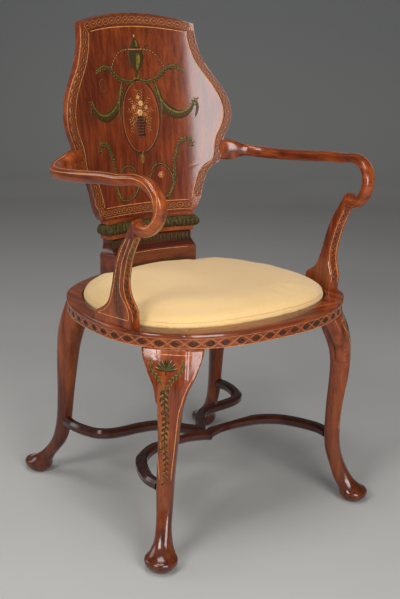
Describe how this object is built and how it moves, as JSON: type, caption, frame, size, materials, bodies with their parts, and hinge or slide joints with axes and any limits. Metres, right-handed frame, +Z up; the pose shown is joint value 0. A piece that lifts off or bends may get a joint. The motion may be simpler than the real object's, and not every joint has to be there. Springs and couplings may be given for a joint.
{
  "type": "painted armchair with a shield shaped back",
  "caption": "Painted hardwood armchair with a curved shield-shaped back, crook arms, cabriole legs, a stretcher of two bows and an oval upholstered seat.",
  "frame": {"origin": "centre of the bounding box at the floor, under the feet", "axes": "+Z up, the chair faces -Y, +X is the sitter's left"},
  "size_m": [0.5766, 0.5648, 0.982],
  "materials": {
    "mahogany": "polished red-brown timber with painted lines and ornament",
    "green_paint": "timber painted green in patches and rubbed",
    "cover": "cream woven cotton cover",
    "canvas": "plain linen canvas",
    "webbing": "jute webbing",
    "beech": "plain unfinished beech",
    "steel": "plain screw steel"
  },
  "bodies": {
    "root": {"seat_rail_front": "mahogany", "seat_rail_left": "mahogany", "seat_rail_back": "mahogany", "seat_rail_right": "mahogany", "leg_front_left": "mahogany", "leg_front_right": "mahogany", "leg_rear_left": "mahogany", "leg_rear_right": "mahogany", "knee_bracket_side_left": "mahogany", "knee_bracket_side_right": "mahogany", "knee_bracket_front_left": "mahogany", "knee_bracket_front_right": "mahogany", "stretcher_front": "mahogany", "stretcher_rear": "mahogany", "stretcher_dowel": "beech", "back_panel": "mahogany", "back_fillet": "mahogany", "back_torus": "green_paint", "back_fascia": "mahogany", "back_cavetto": "green_paint", "back_plinth": "mahogany", "arm_left": "mahogany", "arm_right": "mahogany", "arm_support_left": "mahogany", "arm_support_right": "mahogany", "arm_dowel_left": "beech", "arm_dowel_right": "beech", "arm_back_dowel_left": "beech", "arm_back_dowel_right": "beech", "support_screw_left_1": "steel", "support_screw_right_1": "steel", "support_screw_left_2": "steel", "support_screw_right_2": "steel", "webbing_along_1": "webbing", "webbing_along_2": "webbing", "webbing_along_3": "webbing", "webbing_along_4": "webbing", "webbing_across_1": "webbing", "webbing_across_2": "webbing", "webbing_across_3": "webbing", "webbing_across_4": "webbing", "seat_canvas": "canvas", "seat_pad": "cover"}
  },
  "joints": []
}
